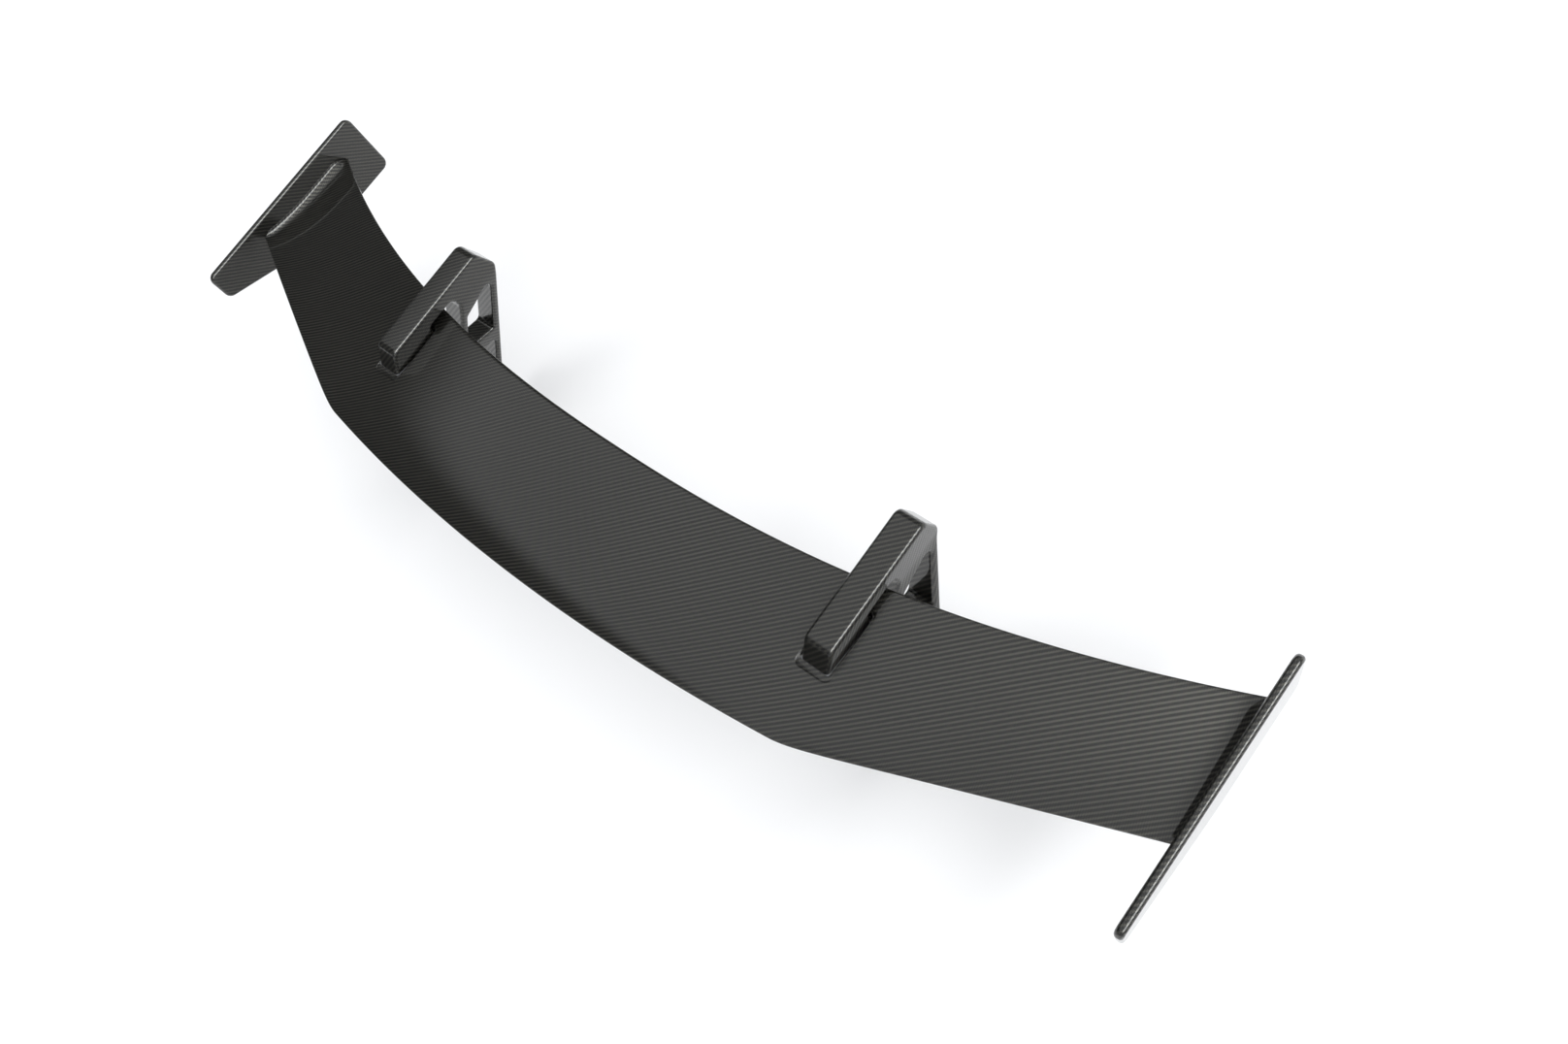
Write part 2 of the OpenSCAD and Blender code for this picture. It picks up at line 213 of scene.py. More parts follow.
def quarter_drop(t):
    """How far a quarter circle has fallen at share t of its radius from its end (1 at t = 0, 0 at t = 1)."""
    return 1 - math.sqrt(max(0.0, 1 - (1 - t) ** 2)) if t < 1 else 0.0


def soft_step(t):
    """Rises smoothly from 0 at t = 0 to 1 at t = 1."""
    t = min(1.0, max(0.0, t))
    return t * t * (3 - 2 * t)


def fairing_rise(x, s):
    """Height of the concave fairing where the blade meets an endplate. It dies away at both edges."""
    gap = TIP_X - x
    reach = FAIRING - FAIRING_LOSS * s
    if gap >= reach:
        return 0.0
    straight = FAIRING_STRAIGHT * reach
    bend = reach - straight
    if gap > straight:
        rise = FAIRING_SLOPE * (reach - gap) ** 2 / (2 * bend)
    else:
        rise = FAIRING_SLOPE * (straight - gap + bend / 2)
    rise += FILLET * quarter_drop(gap / FILLET)
    return rise * soft_step(s / FADE_LEAD) * soft_step((1 - s) / FADE_TRAIL)


def edge_round(s):
    """Rounding of the trailing edge, as a share of half its thickness."""
    return quarter_drop((1 - s) / TRAIL_ROUND)


def bare_upper_z(x, s):
    depth = HOLLOW - HOLLOW_LOSS * (x / TIP_X) ** 2
    hollow = depth * s ** HOLLOW_RISE * (1 - s) ** HOLLOW_FALL / HOLLOW_PEAK if s < 1 else 0.0
    nose = NOSE_DROP * quarter_drop(s / NOSE_SHARE)
    return lead_z(x) + s * (trail_z(x) - lead_z(x)) - hollow - nose


def thickness(x, s):
    return LEAD_T * (1 - s) + TRAIL_T * s + FULLNESS * chord(x) * (math.sqrt(s) - s)


def upper_z(x, s):
    return bare_upper_z(x, s) - TRAIL_T / 2 * edge_round(s) + fairing_rise(x, s)


def lower_z(x, s):
    return bare_upper_z(x, s) - thickness(x, s) + TRAIL_T / 2 * edge_round(s) - fairing_rise(x, s)


def top_at(x, y):
    """Height of the blade's upper face above a point of its plan."""
    return upper_z(x, min(1.0, max(0.0, (lead_y(x) - y) / chord(x))))


def lean(z):
    """How far an upright stands outboard of its arm at height z, with soft bends."""
    def ramp(corner):
        if z >= corner + BEND_SOFT:
            return 0.0
        if z <= corner - BEND_SOFT:
            return corner - z
        return (corner + BEND_SOFT - z) ** 2 / (4 * BEND_SOFT)
    return FOOT_OUT / (BEND_TOP - BEND_LOW) * (ramp(BEND_TOP) - ramp(BEND_LOW))


def pad_point(x, along, up, side=1):
    """A point given across, along and above the pocket floor, in millimetres of the row frame."""
    y = PAD_Y + along * math.cos(PAD_TILT) + up * math.sin(PAD_TILT)
    z = PAD_Z - along * math.sin(PAD_TILT) + up * math.cos(PAD_TILT)
    return Vector((side * (ARM_X + x), y, z))


def steps(low, high, count, include_last=True):
    last = count if include_last else count - 1
    return [low + (high - low) * i / count for i in range(last + 1)]


def round_outline(centres, radius, arc_n):
    """Outline with round corners about corner centres listed anticlockwise."""
    points = []
    count = len(centres)
    for i, (cx, cy) in enumerate(centres):
        before, after = centres[i - 1], centres[(i + 1) % count]
        start = math.atan2(cy - before[1], cx - before[0]) - math.pi / 2
        end = math.atan2(after[1] - cy, after[0] - cx) - math.pi / 2
        turn = (end - start) % (2 * math.pi)
        for k in range(arc_n + 1):
            angle = start + turn * k / arc_n
            points.append((cx + radius * math.cos(angle), cy + radius * math.sin(angle)))
    return points


def fillet_outline(corners, arc_n=8):
    """Outline through sharp corners given as (x, y, radius), each rounded to its radius."""
    points = []
    count = len(corners)
    for i, (x, y, radius) in enumerate(corners):
        here = Vector((x, y))
        back = (Vector(corners[i - 1][:2]) - here).normalized()
        ahead = (Vector(corners[(i + 1) % count][:2]) - here).normalized()
        half = back.angle(ahead) / 2
        reach = radius / math.tan(half)
        middle = here + (back + ahead).normalized() * radius / math.sin(half)
        first = here + back * reach - middle
        last = here + ahead * reach - middle
        turn = first.angle_signed(last)
        for k in range(arc_n + 1):
            arm = first.copy()
            arm.rotate(Matrix.Rotation(-turn * k / arc_n, 2))
            points.append(tuple(middle + arm))
    return points


# ---------------------------------------------------------------- mesh helpers

def new_piece(name, points, faces, material, smooth_deg=35):
    """A mesh object from points in millimetres."""
    mesh = bpy.data.meshes.new(name)
    mesh.from_pydata([Vector(p) * MM for p in points], [], faces)
    mesh.validate()
    piece = bpy.data.objects.new(name, mesh)
    bpy.context.scene.collection.objects.link(piece)
    mesh.materials.append(material)
    soften(piece, smooth_deg)
    return piece


def soften(piece, smooth_deg=35):
    mesh = piece.data
    mesh.shade_smooth()
    mesh.set_sharp_from_angle(angle=math.radians(smooth_deg))


def apply_modifiers(piece):
    depsgraph = bpy.context.evaluated_depsgraph_get()
    mesh = bpy.data.meshes.new_from_object(piece.evaluated_get(depsgraph))
    old = piece.data
    piece.modifiers.clear()
    piece.data = mesh
    bpy.data.meshes.remove(old)


def thicken(piece, millimetres):
    solid = piece.modifiers.new("thickness", "SOLIDIFY")
    solid.thickness = millimetres * MM
    solid.offset = -1
    apply_modifiers(piece)


def weight_normals(piece):
    normals = piece.modifiers.new("normals", "WEIGHTED_NORMAL")
    normals.keep_sharp = True
    normals.weight = 60
    apply_modifiers(piece)


def lay_weave(piece, turn_sides=1):
    """Lays the cloth flat on each face along the axis it faces most. One UV unit is one tow."""
    mesh = piece.data
    layer = mesh.uv_layers.get("weave") or mesh.uv_layers.new(name="weave")
    for face in mesh.polygons:
        axis = max(range(3), key=lambda k: abs(face.normal[k]) + (SIDE_BIAS if k == 0 else 0))
        for loop in face.loop_indices:
            x, y, z = mesh.vertices[mesh.loops[loop].vertex_index].co
            across, up = {0: (y * turn_sides, z), 1: (x, z), 2: (x, y)}[axis]
            layer.data[loop].uv = (across / (TOW * MM), up / (TOW * MM))


def finish_piece(piece, slot, *nodes):
    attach(piece, "root")
    if nodes:
        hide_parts(*nodes)
    return piece


# ---------------------------------------------------------------- materials

class Nodes:
    """Short-hand for building a node tree."""

    def __init__(self, name):
        self.material = bpy.data.materials.new(name)
        self.material.use_nodes = True
        self.tree = self.material.node_tree
        self.shader = self.tree.nodes["Principled BSDF"]

    def set(self, **values):
        for key, value in values.items():
            self.shader.inputs[key.replace("_", " ")].default_value = value

    def add(self, kind, **values):
        node = self.tree.nodes.new(kind)
        for key, value in values.items():
            setattr(node, key, value)
        return node

    def link(self, source, target):
        self.tree.links.new(source, target)

    def math(self, operation, first, second=None, third=None):
        node = self.add("ShaderNodeMath", operation=operation)
        for socket, value in zip(node.inputs, (first, second, third)):
            if value is None:
                continue
            if isinstance(value, (int, float)):
                socket.default_value = value
            else:
                self.link(value, socket)
        return node.outputs[0]

    def mix(self, factor, first, second):
        node = self.add("ShaderNodeMix", data_type="RGBA")
        for socket, value in zip((node.inputs[0], node.inputs[6], node.inputs[7]), (factor, first, second)):
            if isinstance(value, (int, float, tuple)):
                socket.default_value = value
            else:
                self.link(value, socket)
        return node.outputs[2]

    def object_noise(self, scale, detail=2.0, stretch=(1, 1, 1)):
        place = self.add("ShaderNodeTexCoord")
        mapping = self.add("ShaderNodeMapping")
        mapping.inputs["Scale"].default_value = stretch
        noise = self.add("ShaderNodeTexNoise")
        noise.inputs["Scale"].default_value = scale
        noise.inputs["Detail"].default_value = detail
        self.link(place.outputs["Object"], mapping.inputs["Vector"])
        self.link(mapping.outputs[0], noise.inputs["Vector"])
        return noise.outputs["Fac"]

    def ranged(self, value, low, high):
        node = self.add("ShaderNodeMapRange")
        node.inputs["To Min"].default_value = low
        node.inputs["To Max"].default_value = high
        self.link(value, node.inputs["Value"])
        return node.outputs[0]

    def bump(self, height, strength, distance):
        node = self.add("ShaderNodeBump")
        node.inputs["Strength"].default_value = strength
        node.inputs["Distance"].default_value = distance
        self.link(height, node.inputs["Height"])
        self.link(node.outputs[0], self.shader.inputs["Normal"])


def twill_carbon(name, light, dark, coat, metallic):
    """Two-by-two twill: each tow passes over two and under two, and the step walks one tow a row. The colour
    holds painted sheen, with one way of tow lighter than the other, and painted shade where each tow dips
    under its neighbours.
    """
    n = Nodes(name)
    uv = n.add("ShaderNodeUVMap", uv_map="weave")
    split = n.add("ShaderNodeSeparateXYZ")
    n.link(uv.outputs[0], split.inputs[0])
    u, v = split.outputs[0], split.outputs[1]
    column = n.math("FLOOR", u)
    row = n.math("FLOOR", v)
    phase = n.math("FLOORED_MODULO", n.math("SUBTRACT", column, row), 4)
    warp_on_top = n.math("LESS_THAN", phase, 1.5)

    # Position across the tow that is on top, and along the stretch where it is on top
    across = n.add("ShaderNodeMix")
    n.link(warp_on_top, across.inputs[0])
    n.link(n.math("FRACT", v), across.inputs[2])
    n.link(n.math("FRACT", u), across.inputs[3])
    warp_step = n.math("FLOORED_MODULO", n.math("ADD", n.math("SUBTRACT", column, v), 1), 4)
    weft_step = n.math("FLOORED_MODULO", n.math("SUBTRACT", u, row), 4)
    warp_run = n.math("MULTIPLY", warp_step, 0.5)
    weft_run = n.math("MULTIPLY", n.math("SUBTRACT", weft_step, 2), 0.5)
    along = n.add("ShaderNodeMix")
    n.link(warp_on_top, along.inputs[0])
    n.link(weft_run, along.inputs[2])
    n.link(warp_run, along.inputs[3])
    arch_across = n.math("SINE", n.math("MULTIPLY", across.outputs[0], math.pi))
    arch_along = n.math("SINE", n.math("MULTIPLY", along.outputs[0], math.pi))
    crown = n.math("MULTIPLY", n.math("POWER", arch_across, 0.5), n.math("POWER", arch_along, 0.5))

    # Fine fibres along each tow
    def fibres(first, second):
        joined = n.add("ShaderNodeCombineXYZ")
        n.link(n.math("MULTIPLY", first, 9), joined.inputs[0])
        n.link(n.math("MULTIPLY", second, 0.35), joined.inputs[1])
        noise = n.add("ShaderNodeTexNoise")
        noise.inputs["Scale"].default_value = 1.0
        noise.inputs["Detail"].default_value = 1.0
        n.link(joined.outputs[0], noise.inputs["Vector"])
        return noise.outputs["Fac"]
    fibre = n.add("ShaderNodeMix")
    n.link(warp_on_top, fibre.inputs[0])
    n.link(fibres(v, u), fibre.inputs[2])
    n.link(fibres(u, v), fibre.inputs[3])
    # Fibre noise is grain; the crown term is painted shade, darkening each tow towards its edges and ends
    # where it dips under its neighbours.
    grain_and_crown_shade = n.math("MULTIPLY", n.ranged(fibre.outputs[0], 0.55, 1.45), n.ranged(crown, 0.35, 1.0))

    # Slow random change of tone over the part
    drift = n.ranged(n.object_noise(5, 2), 0.8, 1.2)
    # Painted sheen: tows lying one way get the lighter colour and those lying across get the darker, standing
    # in for how carbon tows reflect light along their length.
    painted_tow_sheen = n.mix(warp_on_top, dark, light)
    scaled = n.add("ShaderNodeVectorMath", operation="SCALE")
    n.link(painted_tow_sheen, scaled.inputs[0])
    n.link(n.math("MULTIPLY", grain_and_crown_shade, drift), scaled.inputs["Scale"])
    n.link(scaled.outputs[0], n.shader.inputs["Base Color"])
    n.link(n.math("MULTIPLY_ADD", warp_on_top, -0.1, 0.48), n.shader.inputs["Roughness"])
    n.bump(crown, 0.4, 0.00012)
    n.set(Metallic=metallic, Specular_IOR_Level=0.35, Coat_Weight=coat, Coat_Roughness=0.02, Coat_IOR=1.5)
    return n.material


def ground_facing():
    """Laminate ground flat: satin grey with fine straight scratches."""
    n = Nodes("ground_facing")
    scratch = n.object_noise(900, 3, (1, 0.06, 1))
    cloud = n.object_noise(60, 3)
    both = n.math("MULTIPLY", n.ranged(scratch, 0.82, 1.12), n.ranged(cloud, 0.9, 1.1))
    scaled = n.add("ShaderNodeVectorMath", operation="SCALE")
    scaled.inputs[0].default_value = (0.135, 0.138, 0.145)
    n.link(both, scaled.inputs["Scale"])
    n.link(scaled.outputs[0], n.shader.inputs["Base Color"])
    n.link(n.ranged(scratch, 0.38, 0.6), n.shader.inputs["Roughness"])
    n.bump(scratch, 0.25, 0.00005)
    return n.material


def metal(name, colour, low_rough, high_rough, ring_scale):
    """Machined metal with fine turning marks."""
    n = Nodes(name)
    marks = n.object_noise(ring_scale, 4, (1, 1, 6))
    stain = n.object_noise(120, 3)
    scaled = n.add("ShaderNodeVectorMath", operation="SCALE")
    scaled.inputs[0].default_value = colour
    n.link(n.ranged(stain, 0.88, 1.08), scaled.inputs["Scale"])
    n.link(scaled.outputs[0], n.shader.inputs["Base Color"])
    n.link(n.ranged(marks, low_rough, high_rough), n.shader.inputs["Roughness"])
    n.bump(marks, 0.15, 0.00004)
    n.set(Metallic=1.0)
    return n.material


def matt_black(name, colour, grain, low_rough, high_rough):
    """Moulded plastic or rubber with a fine grain."""
    n = Nodes(name)
    grains = n.object_noise(grain, 4)
    scaled = n.add("ShaderNodeVectorMath", operation="SCALE")
    scaled.inputs[0].default_value = colour
    n.link(n.ranged(n.object_noise(80, 3), 0.7, 1.4), scaled.inputs["Scale"])
    n.link(scaled.outputs[0], n.shader.inputs["Base Color"])
    n.link(n.ranged(grains, low_rough, high_rough), n.shader.inputs["Roughness"])
    n.bump(grains, 0.35, 0.00008)
    return n.material


def studio_floor():
    n = Nodes("studio_floor")
    scaled = n.add("ShaderNodeVectorMath", operation="SCALE")
    scaled.inputs[0].default_value = (0.86, 0.86, 0.865)
    n.link(n.ranged(n.object_noise(1.2, 2), 0.985, 1.0), scaled.inputs["Scale"])
    n.link(scaled.outputs[0], n.shader.inputs["Base Color"])
    n.set(Roughness=0.9, Specular_IOR_Level=0.1)
    return n.material


# The lighter and darker tow colours of both cloths are painted sheen, not two colours of fibre.
GLOSS = twill_carbon("gloss_carbon", (0.057, 0.055, 0.046, 1), (0.011, 0.011, 0.010, 1), 1.0, 0.8)
BARE = twill_carbon("raw_carbon", (0.090, 0.090, 0.086, 1), (0.020, 0.020, 0.020, 1), 0.0, 0.5)
FACING = ground_facing()
ALLOY = metal("alloy", (0.80, 0.81, 0.82), 0.22, 0.38, 500)
STEEL = metal("steel", (0.52, 0.53, 0.55), 0.28, 0.45, 700)
SEAL = matt_black("seal_rubber", (0.012, 0.012, 0.012), 1500, 0.6, 0.8)
BLOCK = matt_black("black_plastic", (0.016, 0.016, 0.018), 1200, 0.42, 0.6)


# ---------------------------------------------------------------- blade

# Patch of the upper skin round a pocket: its span, its shares of the chord, its faces each way along its
# border, and its rings of faces between the border and the pocket
PATCH_X = (322.0, 378.0)
PATCH_S = (0.08, 0.66)
PATCH_NX = 20
PATCH_NS = 40
PATCH_RINGS = 5
# Faces along the rest of the span, along the fairing, over the nose and the tail, and round a small curve
SPAN_N = 80
FAIRING_N = 16
NOSE_N = 16
TAIL_N = 22
CURVE_N = 6


def span_stations():
    half = steps(0, PATCH_X[0], SPAN_N, False)
    half += steps(PATCH_X[0], PATCH_X[1], PATCH_NX, False)
    half += steps(PATCH_X[1], TIP_X - FAIRING, SPAN_N, False)
    half += steps(TIP_X - FAIRING, TIP_X - FILLET, FAIRING_N, False)
    half += [TIP_X - FILLET + FILLET * math.sin(turn) for turn in steps(0, math.pi / 2, CURVE_N)]
    return [-x for x in reversed(half[1:])] + half


def chord_stations():
    round_start = 1 - TRAIL_ROUND
    nose = [PATCH_S[0] * t ** 2 for t in steps(0, 1, NOSE_N, False)]
    tail = steps(PATCH_S[1], round_start, TAIL_N, False)
    end = [round_start + TRAIL_ROUND * math.sin(turn) for turn in steps(0, math.pi / 2, CURVE_N)]
    return nose + steps(PATCH_S[0], PATCH_S[1], PATCH_NS, False) + tail + end


def outline_point(share_side, share, grow):
    """A point on the pocket's outline, grown by grow, as (across, along).

    share_side counts the four sides between the middles of the corners: front, outer, rear and inner.
    share runs from 0 to 1 along that side.
    """
    half_w, half_l = POCKET_W / 2 + grow, POCKET_L / 2 + grow
    radius = max(0.3, min(POCKET_R + grow, half_w - 0.2))
    arc = radius * math.pi / 4
    length = 2 * (half_w if share_side % 2 == 0 else half_l) - 2 * radius
    run = share * (length + 2 * arc)
    if run < arc:
        angle = math.pi / 4 - run / radius
        local = (-length / 2 - radius * math.sin(angle), radius * math.cos(angle) - radius)
    elif run > arc + length:
        angle = (run - arc - length) / radius
        local = (length / 2 + radius * math.sin(angle), radius * math.cos(angle) - radius)
    else:
        local = (run - arc - length / 2, 0.0)
    out = half_l if share_side % 2 == 0 else half_w
    along_side, outward = local[0], out + local[1]
    turned = [(along_side, outward), (outward, -along_side), (-along_side, -outward), (-outward, along_side)]
    return turned[share_side]


def pocket_ring_shares():
    """Which side and share each point of a ring belongs to, in step with the patch's border."""
    counts = [PATCH_NX, PATCH_NS, PATCH_NX, PATCH_NS]
    return [(side, k / counts[side]) for side in range(4) for k in range(counts[side])]


def surface_height(across, along):
    """Height of the blade's upper face above the pocket floor, square to the floor."""
    up = 8.0
    for _ in range(4):
        point = pad_point(across, along, up)
        up += (top_at(point.x, point.y) - point.z) / math.cos(PAD_TILT)
    return up


def skin_faces(rows, columns, skip):
    """Faces of a grid of points, apart from those that skip(row, column) leaves out."""
    for i in range(rows - 1):
        for j in range(columns - 1):
            if not skip(i, j):
                a = i * columns + j
                yield (a, a + 1, a + columns + 1, a + columns)


def ring_faces(first, second, count, flip):
    """A closed band of faces between two rings of points, given by the index of each ring's first point."""
    for k in range(count):
        m = (k + 1) % count
        quad = (first + k, first + m, second + m, second + k)
        yield tuple(reversed(quad)) if flip else quad


def upper_skin():
    """Upper skin with a neat ring of faces round each pocket's mouth."""
    xs, ss = span_stations(), chord_stations()
    columns = len(ss)
    points = [(x, lead_y(abs(x)) - s * chord(abs(x)), upper_z(abs(x), s)) for x in xs for s in ss]
    j0 = min(range(columns), key=lambda j: abs(ss[j] - PATCH_S[0]))
    spans = {}
    for side, sign in SIDES.items():
        low, high = sorted((sign * PATCH_X[0], sign * PATCH_X[1]))
        spans[side] = min(range(len(xs)), key=lambda i: abs(xs[i] - low))

    def in_patch(i, j):
        return j0 <= j < j0 + PATCH_NS and any(i0 <= i < i0 + PATCH_NX for i0 in spans.values())

    faces = list(skin_faces(len(xs), columns, in_patch))
    shares = pocket_ring_shares()
    for side, sign in SIDES.items():
        i0 = spans[side]
        inboard, outboard = (i0 + PATCH_NX, i0) if sign < 0 else (i0, i0 + PATCH_NX)
        step = 1 if outboard > inboard else -1
        border = [(inboard + step * k, j0) for k in range(PATCH_NX)]
        border += [(outboard, j0 + k) for k in range(PATCH_NS)]
        border += [(outboard - step * k, j0 + PATCH_NS) for k in range(PATCH_NX)]
        border += [(inboard, j0 + PATCH_NS - k) for k in range(PATCH_NS)]
        previous = [i * columns + j for i, j in border]
        outline = []
        for share_side, share in shares:
            across, along = outline_point(share_side, share, RIM_R)
            outline.append(pad_point(across, along, surface_height(across, along), sign))
        border_points = [Vector(points[index]) for index in previous]
        for t in steps(0, 1, PATCH_RINGS)[1:]:
            ring = []
            for start, end in zip(border_points, outline):
                mid = start.lerp(end, t)
                ring.append(len(points))
                points.append(tuple(end) if t == 1 else (mid.x, mid.y, top_at(abs(mid.x), mid.y)))
            for k in range(len(ring)):
                m = (k + 1) % len(ring)
                quad = (previous[k], previous[m], ring[m], ring[k])
                faces.append(quad if sign < 0 else tuple(reversed(quad)))
            previous = ring
    return new_piece("blade_upper", points, faces, GLOSS)


# Faces round the liner's rim and round its floor's edge, how far in the floor's rings lie, and the share of a
# shallow wall that the two roundings may take up
LINER_N = 5
FLOOR_RINGS = (-5.0, -9.0, -13.0, -17.0)
ROUND_FIT = 0.98


def pocket_liner(side):
    """Rounded rim, upright wall, small floor radius and flat floor of one pocket."""
    sign = SIDES[side]
    shares = pocket_ring_shares()
    turns = steps(0, math.pi / 2, LINER_N)
    profile = [("rim", turn) for turn in turns] + [("wall", 0.33), ("wall", 0.66)]
    profile += [("floor", turn) for turn in turns] + [("flat", grow) for grow in FLOOR_RINGS]
    points, faces = [], []
    for kind, value in profile:
        for share_side, share in shares:
            grow = {"rim": RIM_R * (1 - math.sin(value)), "wall": 0.0,
                    "floor": -FLOOR_R * (1 - math.cos(value)), "flat": value}[kind]
            across, along = outline_point(share_side, share, grow)
            depth = surface_height(*outline_point(share_side, share, 0.0))
            fit = min(1.0, depth / (RIM_R + FLOOR_R) * ROUND_FIT)
            under_rim, over_floor = depth - RIM_R * fit, FLOOR_R * fit
            if kind == "rim":
                up = surface_height(across, along) - RIM_R * fit * (1 - math.cos(value))
            elif kind == "wall":
                up = under_rim + (over_floor - under_rim) * value
            elif kind == "floor":
                up = over_floor * (1 - math.sin(value))
            else:
                up = 0.0
            points.append(pad_point(across, along, up, sign))
    count = len(shares)
    for ring in range(len(profile) - 1):
        faces += ring_faces(ring * count, (ring + 1) * count, count, sign > 0)
    last = (len(profile) - 1) * count
    middle = len(points)
    points.append(pad_point(0, 0, 0, sign))
    for k in range(count):
        slice_of_floor = (last + k, last + (k + 1) % count, middle)
        faces.append(tuple(reversed(slice_of_floor)) if sign > 0 else slice_of_floor)
    return new_piece(side + "_pocket_liner", points, faces, GLOSS, 50)


def lower_skin():
    xs, ss = span_stations(), chord_stations()
    columns = len(ss)
    points = [(x, lead_y(abs(x)) - s * chord(abs(x)), lower_z(abs(x), s)) for x in xs for s in ss]
    faces = [tuple(reversed(f)) for f in skin_faces(len(xs), columns, lambda i, j: False)]
    return new_piece("blade_lower", points, faces, GLOSS)


# Openings for the bush flanges: radius, length of the cutter and its middle's height above the pocket floor
SEAT_R = 10.3
SEAT_CUT = 20.0
SEAT_MIDDLE = -17.0


def cut_bolt_seats(piece):
    """Round openings in the lower skin for the flanges of the wing bushes."""
    cutters = []
    for sign in SIDES.values():
        for along in (-BOLT_GAP / 2, BOLT_GAP / 2):
            bpy.ops.mesh.primitive_cylinder_add(vertices=64, radius=SEAT_R * MM, depth=SEAT_CUT * MM)
            cutter = bpy.context.object
            cutter.rotation_euler = (-PAD_TILT, 0, 0)
            cutter.location = pad_point(0, along, SEAT_MIDDLE, sign) * MM
            cutters.append(cutter)
    for cutter in cutters:
        cut = piece.modifiers.new("seat", "BOOLEAN")
        cut.operation = "DIFFERENCE"
        cut.solver = "EXACT"
        cut.object = cutter
    apply_modifiers(piece)
    for cutter in cutters:
        bpy.data.objects.remove(cutter)


# ---------------------------------------------------------------- endplates

def endplate(side):
    """Flat plate with a full round edge."""
    sign = SIDES[side]
    turns = steps(0, math.pi / 2, PLATE_EDGE_N)
    section = [(PLATE_EDGE * (1 - math.cos(t)), PLATE_EDGE * (1 - math.sin(t))) for t in turns]
    section += [(PLATE_T - depth, inset) for depth, inset in reversed(section)]
    points, faces = [], []
    for depth, inset in section:
        outline = round_outline(PLATE_CENTRES, PLATE_R - inset, PLATE_CORNER_N)
        points += [(sign * (TIP_X + depth), y, z) for y, z in outline]
    count = len(points) // len(section)
    for ring in range(len(section) - 1):
        faces += ring_faces(ring * count, (ring + 1) * count, count, sign < 0)
    first = tuple(range(count))
    last = tuple(range((len(section) - 1) * count, len(section) * count))
    faces += [tuple(reversed(first)), last] if sign > 0 else [first, tuple(reversed(last))]
    piece = new_piece(side + "_endplate_shell", points, faces, GLOSS)
    weight_normals(piece)
    return piece


# ---------------------------------------------------------------- uprights

def flat_curve(name, outlines):
    """A flat plate with round edges, with its first outline as the rim and the others as holes."""
    curve = bpy.data.curves.new(name, "CURVE")
    curve.dimensions = "2D"
    curve.fill_mode = "BOTH"
    curve.extrude = (UPRIGHT_W / 2 - UPRIGHT_EDGE) * MM
    curve.bevel_depth = UPRIGHT_EDGE * MM
    curve.bevel_resolution = EDGE_N
    curve.offset = -UPRIGHT_EDGE * MM
    for outline in outlines:
        spline = curve.splines.new("POLY")
        spline.points.add(len(outline) - 1)
        for point, (x, y) in zip(spline.points, outline):
            point.co = (x * MM, y * MM, 0, 1)
        spline.use_cyclic_u = True
    return bpy.data.objects.new(name, curve)


def cut_levels():
    """Heights at which the flat sides are cut so that they can follow the bends."""
    levels = []
    for corner in (BEND_TOP, BEND_LOW):
        levels += steps(corner - BEND_SOFT, corner + BEND_SOFT, BEND_N)
    return levels


def upright(side):
    """Hollowed swan-neck: arm, notch, leg with two windows and foot, with round edges all over."""
    sign = SIDES[side]
    outlines = [fillet_outline(UPRIGHT_CORNERS)] + [round_outline(w, WINDOW_R, 10) for w in WINDOWS]
    flat = flat_curve(side + "_upright_flat", outlines)
    bpy.context.scene.collection.objects.link(flat)
    bpy.context.view_layer.update()
    mesh = bpy.data.meshes.new_from_object(flat.evaluated_get(bpy.context.evaluated_depsgraph_get()))
    bpy.data.objects.remove(flat)
    for vertex in mesh.vertices:
        along, up, across = vertex.co
        vertex.co = (across, along, up)
    bm = bmesh.new()
    bm.from_mesh(mesh)
    bmesh.ops.remove_doubles(bm, verts=bm.verts, dist=0.00001)

    def cut_at(level, up, clear_outer):
        geometry = bm.verts[:] + bm.edges[:] + bm.faces[:]
        return bmesh.ops.bisect_plane(bm, geom=geometry, plane_co=(0, 0, level * MM), plane_no=(0, 0, up),
                                      dist=1e-7, clear_outer=clear_outer)
    for level in cut_levels():
        cut_at(level, 1, False)
    cut = cut_at(FACING_T, -1, True)
    rim = [e for e in cut["geom_cut"] if isinstance(e, bmesh.types.BMEdge)]
    bmesh.ops.holes_fill(bm, edges=rim, sides=0)
    for vertex in bm.verts:
        vertex.co.x = sign * (vertex.co.x + (ARM_X + lean(vertex.co.z / MM)) * MM)
    bmesh.ops.recalc_face_normals(bm, faces=bm.faces)
    bm.to_mesh(mesh)
    bm.free()
    mesh.materials.append(GLOSS)
    piece = bpy.data.objects.new(side + "_upright_shell", mesh)
    bpy.context.scene.collection.objects.link(piece)
    cut_pad(piece, sign)
    soften(piece, 32)
    weight_normals(piece)
    return piece


def cut_pad(piece, sign):
    """Cuts the underside of the arm flat where the ground facing sits."""
    bpy.ops.mesh.primitive_cube_add(size=1)
    cutter = bpy.context.object
    cutter.scale = (PAD_CUT_W * MM, (PAD_FRONT - PAD_REAR) * MM, PAD_CUT_H * MM)
    cutter.rotation_euler = (-PAD_TILT, 0, 0)
    middle = pad_point(0, (PAD_REAR + PAD_FRONT) / 2, FACING_T - PAD_CUT_H / 2, sign)
    cutter.location = middle * MM
    cut = piece.modifiers.new("pad", "BOOLEAN")
    cut.operation = "DIFFERENCE"
    cut.solver = "EXACT"
    cut.object = cutter
    apply_modifiers(piece)
    bpy.data.objects.remove(cutter)


# ---------------------------------------------------------------- small parts

# Locating block: size and middle (forward, up) of its body, of the step inside the foot and of the stub
BLOCK_BOXES = [((20, 22, 19), (0, -10.5)), ((16, 18, 11), (0, 4)), ((8, 8, 9), (-5, -22.5))]
BLOCK_ROUND = 0.9


